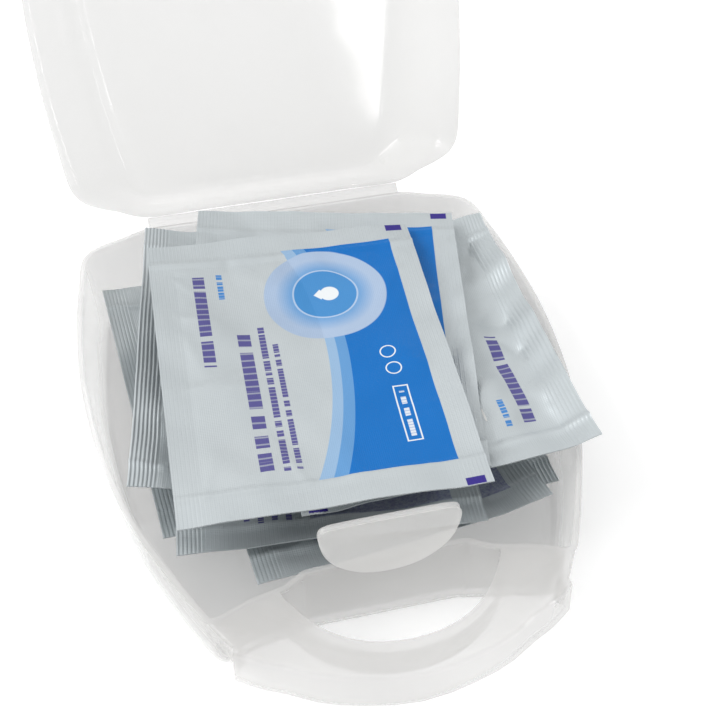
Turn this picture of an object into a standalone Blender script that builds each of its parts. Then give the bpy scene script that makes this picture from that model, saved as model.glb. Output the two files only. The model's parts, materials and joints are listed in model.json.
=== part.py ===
"""A clamshell first-aid carry case in translucent polypropylene, open, with a loose pile of wipe sachets.

Metres, +Z up, +X to the right, +Y from the handle towards the hinge. The origin is the middle of the
flat underside. The parting plane is BASE_DEPTH above it, and the hinge line lies in that plane.
Outlines are (half width, distance in front of the hinge line) in millimetres, for the right half,
and depths run away from the parting plane.
"""

import math

import bmesh
import bpy
from mathutils import Matrix, Vector

MM = 0.001
HINGE_Y = 60.0  # from the middle of the underside to the hinge line
BASE_DEPTH = 20.0
LID_DEPTH = 17.6
WALL = 1.3
PARTING_GAP = 0.3  # left between the two rims when the case is shut
PIECE_GAP = 0.3  # left between pieces that touch
LID_OPENING = 114.6  # degrees from shut, as the case stands open
CUT_MARGIN = 2.0  # how far a cutter runs past a face

# The compartment's outer face at the rim, from the middle of the back round to the middle of its
# front wall, which steps back behind the latch tongue.
RIM = (
    (0, 1.5), (20, 1.5), (32, 1.5), (38.5, 3.8), (45.7, 6.6), (49.2, 11), (50.5, 20), (51.8, 32),
    (52.5, 50), (51.6, 66), (49.6, 80), (46.2, 94), (41.6, 106), (38.2, 114), (36.2, 118.2),
    (34.4, 121), (31.2, 120.6), (26, 118.6), (20, 117.2), (16.6, 115.3), (13.6, 114.5), (0, 114.5),
)
# The same points where the outer face runs into the base's flat underside.
UNDERSIDE = (
    (0, 5), (20, 5), (30.5, 5.3), (36.8, 7.6), (43, 10.2), (45.6, 13.6), (46.6, 21), (47.8, 32.5),
    (48.5, 50), (47.6, 65.5), (45.7, 79), (42.4, 92), (38, 103.5), (34.8, 110.3), (33, 113.2),
    (31, 114.8), (28.4, 114.5), (23.5, 113.7), (19.4, 113.1), (16.2, 112.7), (13.4, 112.4), (0, 112.4),
)
# And where it runs into the lid's flat top panel, which is narrower and starts at the hinge's ends.
TOP_PANEL = (
    (0, 4), (18, 4), (28, 4.2), (31.4, 5.6), (33, 9), (34, 13), (35.6, 21), (37.6, 33),
    (39.4, 50), (39.4, 65), (38, 78), (35.4, 90), (32.2, 100), (30.4, 106), (29.4, 109.4),
    (27.6, 112), (25.4, 112.8), (22.6, 112.7), (19.2, 112.5), (16.2, 112.3), (13.6, 112.2), (0, 112.2),
)
RIM_STEPS = 2
# Share of the way from the rim to the flat face, and share of the depth: a straight wall and a round,
# steep in the base and sloping in the lid.
BASE_PROFILE = ((0, 0), (0.25, 0.55), (0.4, 0.8), (0.6, 0.92), (0.8, 0.98), (1, 1))
LID_PROFILE = ((0, 0), (0.46, 0.58), (0.60, 0.78), (0.72, 0.90), (0.86, 0.975), (1, 1))

# The handle's outer face at the rim: the shoulder, then the grip, which stands proud of it.
SHOULDER = ((37.9, 112.5), (36.7, 117), (33.2, 123.6), (31.4, 126.5))
GRIP = ((30.9, 127.2), (26.8, 130), (22.4, 132.2), (14.3, 136.3), (0, 139))
GRIP_PROUD = 0.8
SHOULDER_DRAFT = 1.6  # how far the shoulder draws in towards its skirt's lower edge
HANDLE_BACK = 112.5  # inside the front wall, where the handle's solid ends
HANDLE_DEPTH = 8.6
PLATE_BOTTOM = 1.6  # depth of the inner face of the plate that closes the handle at the parting plane
HANDLE_PROFILE = ((0.5, 0.25), (0.1, 0.7), (0, 1.5), (-0.3, HANDLE_DEPTH))  # (inset, depth)
CHANNEL_PROFILE = ((0.3, PLATE_BOTTOM), (0, 2.2), (-0.3, HANDLE_DEPTH), (-0.3, HANDLE_DEPTH + CUT_MARGIN))
FINGER_HOLE = (
    (20.8, 111), (21, 117), (19.6, 120.4), (16.8, 124.6), (13.2, 128.2), (7.6, 131.2), (0, 132.4),
)

HINGE_HALF_LENGTH = 32.0
HINGE_THICKNESS = 0.5
HINGE_REACH = RIM[0][1] - PIECE_GAP  # from the hinge line to the web's edge
HINGE_DROP = 0.7  # from the parting plane to the web's edge

# The latch tongue's right half, as (half width, height above the parting plane), and its place.
TONGUE = (
    (0, 13), (8, 12.95), (11.6, 12.7), (12.8, 11.6), (12.7, 9), (11.6, 5.4), (9.2, 2.2), (5, -0.4), (0, -1.2),
)
TONGUE_THICKNESS = 1.3
TONGUE_BACK = 114.9
TONGUE_PIVOT_HEIGHT = -1.0

SACHET_WIDTH = 61.0
SACHET_LENGTH = 79.0
FILM = 0.2
WIPE_THICKNESS = 1.4
REST_GAP = 0.3  # between sachets that lie on each other
SEAL_SHARES = (0.86, 0.9)  # where the side and end seals start, as shares of the half width and half length
WIPE_SHARES = (0.7, 0.76)
ACROSS = (-1, -0.86, -0.7, -0.35, 0, 0.35, 0.7, 0.86, 1)
ALONG = (-1, -0.9, -0.76, -0.38, 0, 0.38, 0.76, 0.9, 1)
SAMPLES = 24  # across a sachet and along it, where its clearance is measured
SETTLE_ROUNDS = 40
SETTLE_FALL = 0.5  # how far a sachet drops in each round unless something holds it

# The pile from the bottom up: name, middle, turn in degrees, the least heights of the back left, back
# right, front left and front right corners, and how far the middle may sag below them.
SACHETS = (
    ("sachet_1", (10.6, 57.5), 0, (-18, -12, -18, -9), 6),
    ("sachet_2", (-12.5, 50.5), -4, (-8, -16, -10, -15), 6),
    ("sachet_3", (3.4, 66.5), -4.5, (-14, -14, -9, -7), 6),
    ("sachet_4", (-3.7, 64), 6, (-9, -10, -6, -5), 6),
    ("sachet_5", (-9.1, 52.8), 9, (5, 0, 0, -4), 8),
    ("sachet_6", (17.2, 59.8), 0, (-4, 3, -4, 4.5), 6),
    ("sachet_7", (2.4, 54.8), 11, (9, 6, 1, 1), 5),
    ("sachet_8", (-5, 64), 2.6, (10, 8, 4, 4), 3),
)

POLYPROPYLENE = (0.86, 0.86, 0.85, 1)
FOIL = (0.62, 0.65, 0.67, 1)
PRINTED_FOIL = (0.45, 0.55, 0.68, 1)
NONWOVEN = (0.9, 0.9, 0.88, 1)


def clear_scene():
    for thing in list(bpy.data.objects):
        bpy.data.objects.remove(thing)


def new_collection(name, hidden=False):
    collection = bpy.data.collections.new(name)
    collection.hide_render = hidden
    bpy.context.scene.collection.children.link(collection)
    return collection


def new_material(name, colour, roughness, metallic=0.0):
    material = bpy.data.materials.new(name)
    material.use_nodes = True
    shader = material.node_tree.nodes["Principled BSDF"]
    shader.inputs["Base Color"].default_value = colour
    shader.inputs["Roughness"].default_value = roughness
    shader.inputs["Metallic"].default_value = metallic
    return material


def new_object(name, form, collection, material=None):
    """Turns the bmesh into a named object, with its faces pointing out and round faces smooth."""
    bmesh.ops.recalc_face_normals(form, faces=form.faces)
    mesh = bpy.data.meshes.new(name)
    form.to_mesh(mesh)
    form.free()
    mesh.shade_smooth()
    mesh.set_sharp_from_angle(angle=math.radians(35))
    thing = bpy.data.objects.new(name, mesh)
    collection.objects.link(thing)
    if material:
        mesh.materials.append(material)
    else:
        thing.hide_render = True
        thing.display_type = "WIRE"
    return thing


def beyond(end, neighbour):
    """The point past an end: the neighbour's mirror image where the end is on the middle line."""
    return Vector((-neighbour.x, neighbour.y)) if end.x == 0 else 2 * end - neighbour


def spline(points, steps=3):
    """A smooth curve (Catmull-Rom) through the points, with this many steps between neighbours."""
    points = [Vector(point) for point in points]
    run = [beyond(points[0], points[1]), *points, beyond(points[-1], points[-2])]
    curve = []
    for before, start, end, after in zip(run, run[1:], run[2:], run[3:]):
        for step in range(steps):
            t = step / steps
            slope = (end - before) * t
            bend = (2 * before - 5 * start + 4 * end - after) * t**2
            twist = (3 * start - before - 3 * end + after) * t**3
            curve.append((2 * start + slope + bend + twist) / 2)
    return curve + [points[-1]]


def mirrored(half):
    """The closed outline of a right half, going on round its left half."""
    left = [Vector((-point.x, point.y)) for point in reversed(half) if point.x > 1e-6]
    return half + left


def inset(outline, distance):
    """The outline with each side moved inwards by this distance."""
    moved = []
    for i, point in enumerate(outline):
        arriving = (point - outline[i - 1]).normalized()
        leaving = (outline[(i + 1) % len(outline)] - point).normalized()
        run = (arriving + leaving).normalized()
        inwards = Vector((-run.y, run.x))
        moved.append(point + inwards * distance / run.dot(arriving))
    return moved


def drawn_in(arch, distances):
    """The open curve with each point moved inwards by its own distance."""
    moved = []
    for i, (point, distance) in enumerate(zip(arch, distances)):
        run = arch[min(i + 1, len(arch) - 1)] - arch[max(i - 1, 0)]
        moved.append(point + distance * Vector((-run.y, run.x)).normalized())
    return moved


def between(first, second, share):
    return [a.lerp(b, share) for a, b in zip(first, second)]


def ring(outline, height):
    return [Vector((point.x, -point.y, height)) * MM for point in outline]


def loft(name, rings, collection, material=None):
    """A closed solid through rings of equally many points, with its ends filled."""
    form = bmesh.new()
    loops = [[form.verts.new(point) for point in points] for points in rings]
    for low, high in zip(loops, loops[1:]):
        for i in range(len(low)):
            form.faces.new((low[i - 1], low[i], high[i], high[i - 1]))
    form.faces.new(loops[0])
    form.faces.new(loops[-1])
    return new_object(name, form, collection, material)


def combine(thing, operation, other):
    modifier = thing.modifiers.new(f"{operation.lower()}_{other.name}", "BOOLEAN")
    modifier.operation = operation
    modifier.object = other
    modifier.solver = "EXACT"


def tub(name, flat_face, profile, depth, side, collection, material):
    """The compartment's solid: its rim outline drawn in to the flat face."""
    rim = mirrored(spline(RIM, RIM_STEPS))
    flat = mirrored(spline(flat_face, RIM_STEPS))
    rings = []
    for share, share_of_depth in profile:
        height = side * max(PARTING_GAP / 2, share_of_depth * depth)
        rings.append(ring(between(rim, flat, share), height))
    return loft(name, rings, collection, material)


def cavity(name, flat_face, profile, depth, side, collection):
    """What the compartment holds: the solid's outlines a wall further in, open past the rim."""
    rim = mirrored(spline(RIM, RIM_STEPS))
    flat = mirrored(spline(flat_face, RIM_STEPS))
    rings = [ring(inset(rim, WALL), -side * CUT_MARGIN)]
    for share, share_of_depth in profile:
        outline = inset(between(rim, flat, share), WALL)
        rings.append(ring(outline, side * share_of_depth * (depth - WALL)))
    return loft(name, rings, collection)


def handle_outline(distance, depth, back):
    """The handle's outline this far in from its outer face, at this depth."""
    arch = mirrored(spline(SHOULDER + GRIP))
    insets = []
    for point in arch:
        if abs(point.x) < GRIP[0][0] + 0.01:
            insets.append(distance - GRIP_PROUD)
        else:
            insets.append(distance + SHOULDER_DRAFT * depth / HANDLE_DEPTH)
    return [Vector((0, back)), *drawn_in(arch, insets)]


def handle(name, side, collection):
    """The handle's half on this side: a plate round the finger hole, with a skirt round both edges."""
    hole = mirrored([Vector((0, FINGER_HOLE[0][1])), *spline(FINGER_HOLE)])
    block_rings = []
    for distance, depth in HANDLE_PROFILE:
        block_rings.append(ring(handle_outline(distance, depth, HANDLE_BACK), side * depth))
    channel_rings = []
    for distance, depth in CHANNEL_PROFILE:
        outline = handle_outline(WALL + distance, depth, HANDLE_BACK - CUT_MARGIN)
        channel_rings.append(ring(outline, side * depth))
    ends = (-side * CUT_MARGIN, side * (HANDLE_DEPTH + 2 * CUT_MARGIN))
    block = loft(f"{name}_handle", block_rings, collection)
    channel = loft(f"{name}_channel", channel_rings, collection)
    surround = loft(f"{name}_surround", [ring(inset(hole, -WALL), end) for end in ends], collection)
    opening = loft(f"{name}_finger_hole", [ring(hole, end) for end in ends], collection)
    combine(channel, "DIFFERENCE", surround)
    combine(block, "DIFFERENCE", channel)
    combine(block, "DIFFERENCE", opening)
    return [block, channel, surround, opening]


def half_case(name, flat_face, profile, depth, side, turn, parts, cutters, material):
    """One moulded half, side -1 below the parting plane or 1 above it, turned about the hinge line."""
    shell = tub(name, flat_face, profile, depth, side, parts, material)
    hollow = cavity(f"{name}_cavity", flat_face, profile, depth, side, cutters)
    helpers = handle(name, side, cutters)
    combine(shell, "UNION", helpers[0])
    combine(shell, "DIFFERENCE", hollow)
    place = Matrix.Translation(Vector((0, HINGE_Y, BASE_DEPTH)) * MM)
    for thing in (shell, hollow, *helpers):
        thing.matrix_world = place @ Matrix.Rotation(turn, 4, "X")
    return shell


def living_hinge(parts, material):
    """The thin web between the two rims, bent as far as the lid is open."""
    opening = math.radians(LID_OPENING)
    base_edge = Vector((HINGE_REACH, -HINGE_DROP))
    lid_edge = Vector((HINGE_REACH, HINGE_DROP))
    turned = Vector((
        lid_edge.x * math.cos(opening) - lid_edge.y * math.sin(opening),
        lid_edge.x * math.sin(opening) + lid_edge.y * math.cos(opening),
    ))
    middle = spline((base_edge, Vector((0.1, -0.1)), turned))
    across = [(b - a).normalized() for a, b in zip(middle, middle[1:])]
    across.append(across[-1])
    sideways = [Vector((-run.y, run.x)) * HINGE_THICKNESS / 2 for run in across]
    profile = [point + step for point, step in zip(middle, sideways)]
    profile += [point - step for point, step in zip(reversed(middle), reversed(sideways))]
    rings = []
    for x in (-HINGE_HALF_LENGTH, HINGE_HALF_LENGTH):
        rings.append([Vector((x, -point.x, point.y)) * MM for point in profile])
    web = loft("living_hinge", rings, parts, material)
    web.location = Vector((0, HINGE_Y, BASE_DEPTH)) * MM


def latch_tongue(parts, material):
    """The D-shaped tongue that stands up in front of the front wall, with its origin on its bend."""
    outline = mirrored(spline(TONGUE))
    rings = []
    for depth in (0, -TONGUE_THICKNESS):
        rings.append([Vector((p.x, depth, p.y - TONGUE_PIVOT_HEIGHT)) * MM for p in outline])
    tongue = loft("latch_tongue", rings, parts, material)
    tongue.location = Vector((0, HINGE_Y - TONGUE_BACK, BASE_DEPTH + TONGUE_PIVOT_HEIGHT)) * MM


def cell(shares, share):
    """The index of the grid step that holds this share, and how far along the step it is."""
    index = 0
    while index < len(shares) - 2 and shares[index + 1] < share:
        index += 1
    return index, (share - shares[index]) / (shares[index + 1] - shares[index])


class Sachet:
    """A sealed pouch, as heights over its own rectangle: u runs across it and v towards the handle."""

    def __init__(self, name, middle, turn, corners, sag):
        self.name = name
        self.middle = Vector(middle)
        self.across = Vector((math.cos(math.radians(turn)), math.sin(math.radians(turn))))
        self.along = Vector((-self.across.y, self.across.x))
        self.corners = corners
        self.sag = sag
        self.heights = [[self.planned(u, v) for v in ALONG] for u in ACROSS]

    def planned(self, u, v):
        back_left, back_right, front_left, front_right = self.corners
        back = back_left + (back_right - back_left) * (u + 1) / 2
        front = front_left + (front_right - front_left) * (u + 1) / 2
        return back + (front - back) * (v + 1) / 2 - self.sag * (1 - u * u) * (1 - v * v)

    def place(self, u, v):
        """The point in (x, distance in front of the hinge line)."""
        return self.middle + self.across * u * SACHET_WIDTH / 2 + self.along * v * SACHET_LENGTH / 2

    def shares(self, point):
        """The u and v of a point."""
        away = point - self.middle
        return away.dot(self.across) / (SACHET_WIDTH / 2), away.dot(self.along) / (SACHET_LENGTH / 2)

    def height(self, u, v):
        i, s = cell(ACROSS, u)
        j, t = cell(ALONG, v)
        near = self.heights[i][j] * (1 - t) + self.heights[i][j + 1] * t
        far = self.heights[i + 1][j] * (1 - t) + self.heights[i + 1][j + 1] * t
        return near * (1 - s) + far * s

    def room(self, u, v):
        """Half the space between the two films: a flat pillow that ends at the seals."""
        filled = 1.0
        for share, seal in zip((u, v), SEAL_SHARES):
            filled *= max(0.0, 1 - abs(share / seal) ** 4)
        return PIECE_GAP / 2 + filled * (WIPE_THICKNESS + PIECE_GAP) / 2

    def least_height(self, u, v, below):
        """The lowest that this point can lie, on the floor or on the sachets below."""
        point = self.place(u, v)
        top = WALL - BASE_DEPTH
        for other in below:
            s, t = other.shares(point)
            if max(abs(s), abs(t)) <= 1.02:
                top = max(top, other.height(s, t) + other.room(s, t) + FILM)
        return top + REST_GAP + self.room(u, v) + FILM

    def relax(self):
        """Evens the heights out towards their neighbours' and drops them, as a limp sheet would."""
        old = [list(row) for row in self.heights]
        last = len(ACROSS) - 1
        for i, u in enumerate(ACROSS):
            for j, v in enumerate(ALONG):
                beside = (old[max(i - 1, 0)][j] + old[min(i + 1, last)][j]) / 2
                beyond = (old[i][max(j - 1, 0)] + old[i][min(j + 1, last)]) / 2
                evened = (beside + beyond) / 2 - SETTLE_FALL
                self.heights[i][j] = max(evened, self.planned(u, v))

    def settle(self, below):
        """Lays the sachet over the floor and those below it, bent smoothly and touching nothing."""
        steps = [2 * i / SAMPLES - 1 for i in range(SAMPLES + 1)]
        samples = [(u, v, self.least_height(u, v, below)) for u in steps for v in steps]
        for _ in range(SETTLE_ROUNDS):
            self.relax()
            for u, v, least in samples:
                lack = least - self.height(u, v)
                if lack > 0:
                    i, _ = cell(ACROSS, u)
                    j, _ = cell(ALONG, v)
                    for row in self.heights[i : i + 2]:
                        row[j] += lack
                        row[j + 1] += lack

    def layer(self, form, us, vs, rise):
        """A grid of points that rise above the middle surface, and the triangles between them."""
        grid = []
        for u in us:
            row = []
            for v in vs:
                point = self.place(u, v) - self.middle
                height = self.height(u, v) + rise(u, v)
                row.append(form.verts.new(Vector((point.x, -point.y, height)) * MM))
            grid.append(row)
        for near, far in zip(grid, grid[1:]):
            for j in range(len(vs) - 1):
                form.faces.new((near[j], far[j], far[j + 1]))
                form.faces.new((near[j], far[j + 1], near[j + 1]))
        return grid

    def slab(self, name, us, vs, top, bottom, parts, material):
        """A closed sheet between two heights above the middle surface, on a grid of u and v."""
        form = bmesh.new()
        borders = []
        for rise in (top, bottom):
            grid = self.layer(form, us, vs, rise)
            left, right = grid[0], grid[-1]
            front = [row[-1] for row in grid]
            back = [row[0] for row in grid]
            borders.append(left[:-1] + front[:-1] + right[:0:-1] + back[:0:-1])
        upper, lower = borders
        for i in range(len(upper)):
            form.faces.new((upper[i - 1], upper[i], lower[i], lower[i - 1]))
        slab = new_object(name, form, parts, material)
        slab.location = Vector((self.middle.x, HINGE_Y - self.middle.y, BASE_DEPTH)) * MM

    def build(self, parts, front_foil, back_foil, nonwoven):
        wide = [u for u in ACROSS if abs(u) <= WIPE_SHARES[0]]
        long = [v for v in ALONG if abs(v) <= WIPE_SHARES[1]]
        room = self.room
        self.slab(
            f"{self.name}_front_film", ACROSS, ALONG,
            lambda u, v: room(u, v) + FILM, room, parts, front_foil,
        )
        self.slab(
            f"{self.name}_wipe", wide, long,
            lambda u, v: room(u, v) - PIECE_GAP, lambda u, v: PIECE_GAP - room(u, v), parts, nonwoven,
        )
        self.slab(
            f"{self.name}_back_film", ACROSS, ALONG,
            lambda u, v: -room(u, v), lambda u, v: -room(u, v) - FILM, parts, back_foil,
        )


def pile(parts):
    front_foil = new_material("printed_foil", PRINTED_FOIL, 0.35, 0.4)
    back_foil = new_material("plain_foil", FOIL, 0.35, 0.6)
    nonwoven = new_material("nonwoven", NONWOVEN, 0.95)
    placed = []
    for details in SACHETS:
        sachet = Sachet(*details)
        sachet.settle(placed)
        sachet.build(parts, front_foil, back_foil, nonwoven)
        placed.append(sachet)


def main():
    clear_scene()
    parts = new_collection("first_aid_case")
    cutters = new_collection("cutters", hidden=True)
    plastic = new_material("polypropylene", POLYPROPYLENE, 0.3)
    half_case("base_shell", UNDERSIDE, BASE_PROFILE, BASE_DEPTH, -1, 0, parts, cutters, plastic)
    opening = -math.radians(LID_OPENING)
    half_case("lid_shell", TOP_PANEL, LID_PROFILE, LID_DEPTH, 1, opening, parts, cutters, plastic)
    living_hinge(parts, plastic)
    latch_tongue(parts, plastic)
    pile(parts)


main()
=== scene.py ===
"""The looks of a translucent first-aid carry case and its loose pile of wipe sachets.

Metres, +Z up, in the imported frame. Outlines of the case are (half width, distance in front of the
hinge line) in millimetres, for the right half, and depths run away from the parting plane.
"""

import json
import math
from functools import reduce

import bmesh
import bpy
import numpy as np
from mathutils import Matrix, Vector


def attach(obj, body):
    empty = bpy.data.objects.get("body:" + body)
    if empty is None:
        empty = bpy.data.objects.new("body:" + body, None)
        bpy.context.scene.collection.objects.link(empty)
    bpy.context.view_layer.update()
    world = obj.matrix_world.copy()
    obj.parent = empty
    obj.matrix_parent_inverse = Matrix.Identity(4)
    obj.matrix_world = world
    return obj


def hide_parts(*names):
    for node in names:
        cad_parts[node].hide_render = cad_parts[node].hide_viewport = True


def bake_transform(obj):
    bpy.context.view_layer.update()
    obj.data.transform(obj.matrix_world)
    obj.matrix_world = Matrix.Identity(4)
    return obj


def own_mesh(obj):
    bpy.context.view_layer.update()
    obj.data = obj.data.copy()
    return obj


MM = 0.001

# Edges bent by more degrees than this are drawn sharp.
SHARP = 35
WIPE_SHARP = 60
FILM_SHARP = 70

# The camera: where it stands, where it looks, its roll in degrees, and its lens and sensor in millimetres.
CAMERA_PLACE = (-0.0361, -0.1871, 0.1982)
CAMERA_LOOK = (0.167, 0.712, -0.682)
CAMERA_ROLL = -0.5
CAMERA_LENS = 59.85
CAMERA_SENSOR = 36
CAMERA_NEAR = 0.01

# The case.
LID_DEPTH = 17.6
WALL = 1.3
PARTING_GAP = 0.3
EDGE_ROUND = 0.28
EDGE_BEND = 0.3  # the point half way round the rim's rounded edge, as a share of its radius
CUT_MARGIN = 2.0
RIM = (
    (0, 1.5), (20, 1.5), (32, 1.5), (38.5, 3.8), (45.7, 6.6), (49.2, 11), (50.5, 20), (51.8, 32),
    (52.5, 50), (51.6, 66), (49.6, 80), (46.2, 94), (41.6, 106), (38.2, 114), (36.2, 118.2),
    (34.4, 121), (31.2, 120.6), (26, 118.6), (20, 117.2), (16.6, 115.3), (13.6, 114.5), (0, 114.5),
)
UNDERSIDE = (
    (0, 5), (20, 5), (30.5, 5.3), (36.8, 7.6), (43, 10.2), (45.6, 13.6), (46.6, 21), (47.8, 32.5),
    (48.5, 50), (47.6, 65.5), (45.7, 79), (42.4, 92), (38, 103.5), (34.8, 110.3), (33, 113.2),
    (31, 114.8), (28.4, 114.5), (23.5, 113.7), (19.4, 113.1), (16.2, 112.7), (13.4, 112.4), (0, 112.4),
)
TOP_PANEL = (
    (0, 4), (18, 4), (28, 4.2), (31.4, 5.6), (33, 9), (34, 13), (35.6, 21), (37.6, 33),
    (39.4, 50), (39.4, 65), (38, 78), (35.4, 90), (32.2, 100), (30.4, 106), (29.4, 109.4),
    (27.6, 112), (25.4, 112.8), (22.6, 112.7), (19.2, 112.5), (16.2, 112.3), (13.6, 112.2), (0, 112.2),
)
RIM_STEPS = 2  # between two points of the outlines above
FINER = 3  # between two points of what comes of that
PROFILE_STEPS = 4  # between two points of the profiles below
FLAT_BORDER = 0.9  # a narrow border round the flat face, which keeps its shading even
# Share of the way from the rim to the flat face, and share of the depth.
BASE_PROFILE = ((0, 0), (0.25, 0.55), (0.4, 0.8), (0.6, 0.92), (0.8, 0.98), (1, 1))
LID_PROFILE = ((0, 0), (0.46, 0.58), (0.60, 0.78), (0.72, 0.90), (0.86, 0.975), (1, 1))
SHOULDER = ((37.9, 112.5), (36.7, 117), (33.2, 123.6), (31.4, 126.5))
GRIP = ((30.9, 127.2), (26.8, 130), (22.4, 132.2), (14.3, 136.3), (0, 139))
GRIP_PROUD = 0.8
HANDLE_BACK = 112.5
SHOULDER_DRAFT = 1.6
HANDLE_DEPTH = 8.6
# (distance in from the handle's outer face, depth)
HANDLE_PROFILE = (
    (0.75, 0.2), (0.4, 0.3), (0.15, 0.55), (0.02, 1.0), (0, 1.5), (-0.15, 5), (-0.3, 8.4), (-0.2, 8.6),
)
CHANNEL_PROFILE = ((0.5, 1.6), (0.15, 1.75), (0, 2.2), (-0.15, 5), (-0.3, 8.4), (-0.4, 8.6), (-0.4, 10.6))
FINGER_HOLE = (
    (20.8, 111), (21, 117), (19.6, 120.4), (16.8, 124.6), (13.2, 128.2), (7.6, 131.2), (0, 132.4),
)
HINGE_HALF_LENGTH = 32.0
HINGE_THICKNESS = 0.5
HINGE_REACH = 1.2
HINGE_DROP = 0.7
HINGE_MIDDLE = (0.1, -0.1)
HINGE_STEPS = 8  # across the web, from its middle to each edge
HINGE_SLICES = 40  # along the web
GROOVE_DEPTH = 0.35  # the part of the web's thickness that is missing in its groove
GROOVE_WIDTH = 2.0  # in steps
TONGUE = (
    (0, 13), (8, 12.95), (11.6, 12.7), (12.8, 11.6), (12.7, 9), (11.6, 5.4), (9.2, 2.2), (5, -0.4), (0, -1.2),
)
TONGUE_PIVOT_HEIGHT = -1.0
TONGUE_STEPS = 6
# (y, distance in from the outline)
TONGUE_PROFILE = ((0, 0.35), (-0.1, 0.1), (-0.35, 0), (-0.95, 0), (-1.2, 0.1), (-1.3, 0.35))

# The sachets. ACROSS and ALONG are the CAD films' own grid, as shares of the half width and half length.
SACHET_WIDTH = 61.0
SACHET_LENGTH = 79.0
ACROSS = np.array((-1, -0.86, -0.7, -0.35, 0, 0.35, 0.7, 0.86, 1))
ALONG = np.array((-1, -0.9, -0.76, -0.38, 0, 0.38, 0.76, 0.9, 1))
SIDE_SEAL = 5.6  # the width of the seal along each long side
END_SEAL = 7.0  # and across each end
FILM = 0.1
SEAL_GAP = 0.06  # between the two films where they are sealed
POUCH_HEIGHT = 1.7
FULLNESS = (3.2, 3.6)  # how square the filled part is, across and along
RIB_PITCH = 0.8
RIB_HEIGHT = 0.07
RIB_STEP = 0.16
PANEL_STEP = 0.8
ROW_STEP = 0.75
CONTACT_GAP = 0.08
SAME_SPOT = 0.05  # points of the two films this close together from above belong together
REACH = 1.01  # how far past its middle a sachet holds up others, as a share of its half size
SETTLING_STEPS = 6
BLUR = 2  # grid steps to each side
CREASES = 36
CREASE_HEIGHT = 0.42
CREASE_LENGTHS = (6, 20)
CREASE_WIDTHS = (0.5, 1.6)
CREASE_SLANT = 0.9  # radians to either side of straight in
WAVES = ((0.8, 22), (0.22, 8))  # height and length
WAVES_EACH = 6
WELT_HEIGHT = 0.5  # the soft fold along the inside of each end seal
WELT_PLACE = 0.4
WELT_WIDTH = 0.7

# The wipe's folded size as a share of the sachet's, and its layers, as shares of half its width and height.
WIPE_ACROSS = 0.62
WIPE_ALONG = 0.66
WIPE_LAYERS = 4
WIPE_SLICES = 41
WIPE_CLEARANCE = 0.05
LAYER_STEPS = 14
LAYER_REACH = 0.94
LAYER_BEND = 0.05
LAYER_THICKNESS = 0.36  # as a share of the layers' spacing
WIPE_FLATNESS = 14  # how many times wider than thick it is

# name, seed, how crumpled it is, how strong its side ribs are, whether its print is turned end for end
SACHETS = (
    ("sachet_1", 11, 1.0, 0.5, False),
    ("sachet_2", 12, 1.0, 0.5, False),
    ("sachet_3", 13, 1.0, 0.5, False),
    ("sachet_4", 14, 1.2, 0.5, False),
    ("sachet_5", 15, 1.3, 1.6, False),
    ("sachet_6", 16, 2.4, 0.8, True),
    ("sachet_7", 17, 1.0, 0.15, False),
    ("sachet_8", 18, 0.9, 0.12, False),
)
# which corner (x, y) is bent up, from how far in along both sides together, and how far up, in mm
CURLS = {
    "sachet_5": (-1, 1, 20, 1.5),
    "sachet_6": (-1, -1, 24, 3),
    "sachet_3": (1, 1, 16, 2),
}
# which side stays still as the closing lid pushes the other in, and the share of its width left
TUCKED = {"sachet_5": (1, 0.96), "sachet_6": (-1, 0.84)}
WORDY = ("sachet_1", "sachet_2", "sachet_3", "sachet_4")  # these show the print's other side panel

INDIGO = (0.045, 0.03, 0.25, 1)
BLUE = (0.0, 0.15, 0.5, 1)
MID_BLUE = (0.12, 0.31, 0.6, 1)
PALE_BLUE = (0.29, 0.45, 0.65, 1)
WHITE = (0.8, 0.83, 0.85, 1)
SILVER = (0.5, 0.545, 0.565, 1)
PALE_SILVER = (0.56, 0.6, 0.615, 1)
HALO_BLUE = (0.4, 0.51, 0.68, 1)
GLOW_BLUE = (0.13, 0.33, 0.63, 1)
RIM_BLUE = (0.42, 0.55, 0.74, 1)
DISC_BLUE = (0.06, 0.26, 0.58, 1)
SMALL_PRINT_BLUE = (0.0, 0.2, 0.6, 1)
HAZE_INDIGO = (0.12, 0.13, 0.32, 1)
SHEEN = 0.4  # how metallic the unprinted foil looks
HATCH_PITCH = 0.42

# The print, in millimetres from the sachet's middle: x across, y towards its front end. Rectangles are
# (left, right, back, front), and rows of bars are a rectangle, the length of a word and a seed.
FIELD_PANEL = (-40, 25.2, -34.6, 32.4)
FIELD_ARCS = ((5.1, 90, PALE_BLUE), (7.2, 100, MID_BLUE), (9.5, 110, BLUE))  # rightmost x, radius
FIELD_MIDDLE = -4
EMBLEM = (7.6, -19.4)
HALO_RADIUS = 13.7
GLOW_RADIUS = 11.3
GLOW_START = 7.1  # where it is strongest
GLOW_FADE = 4.2  # and over what distance from there it fades
RIM_RADIUS = 7.4
DISC_RADIUS = 7.0
DROP_RADIUS = 2.1
DROP_SHIFT = 0.9
DROP_TIP = (-10.25, -8.15, 17.3, 19.4)  # a square, measured along axes turned by 45 degrees
INDIGO_ROWS = (
    (-21.2, -18.6, -28.4, -1.2, 2.6, 3.1),
    (-13.4, -10.6, -10, 28.6, 2.6, 7.7),
    (-8.8, -7.4, -12, 29, 1.3, 1.3),
    (-6.2, -5.0, -6.6, 28.8, 1.3, 5.2),
)
END_MARKS = ((25.2, 29, -39.3, -37.3), (25.2, 29, 37.5, 39.4))
SMALL_ROW = (-15.9, -14.6, -29, -20.8, 1.2, 2.2)
WHITE_ROW = (17.6, 18.7, 12, 24.4, 1.6, 4.4)
WHITE_FRAME = (16.5, 19.8, 10.5, 25.7)
WHITE_RINGS = ((17.9, 5.6), (17.6, 0.8))
WHITE_RING_RADIUS = 1.6
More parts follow.
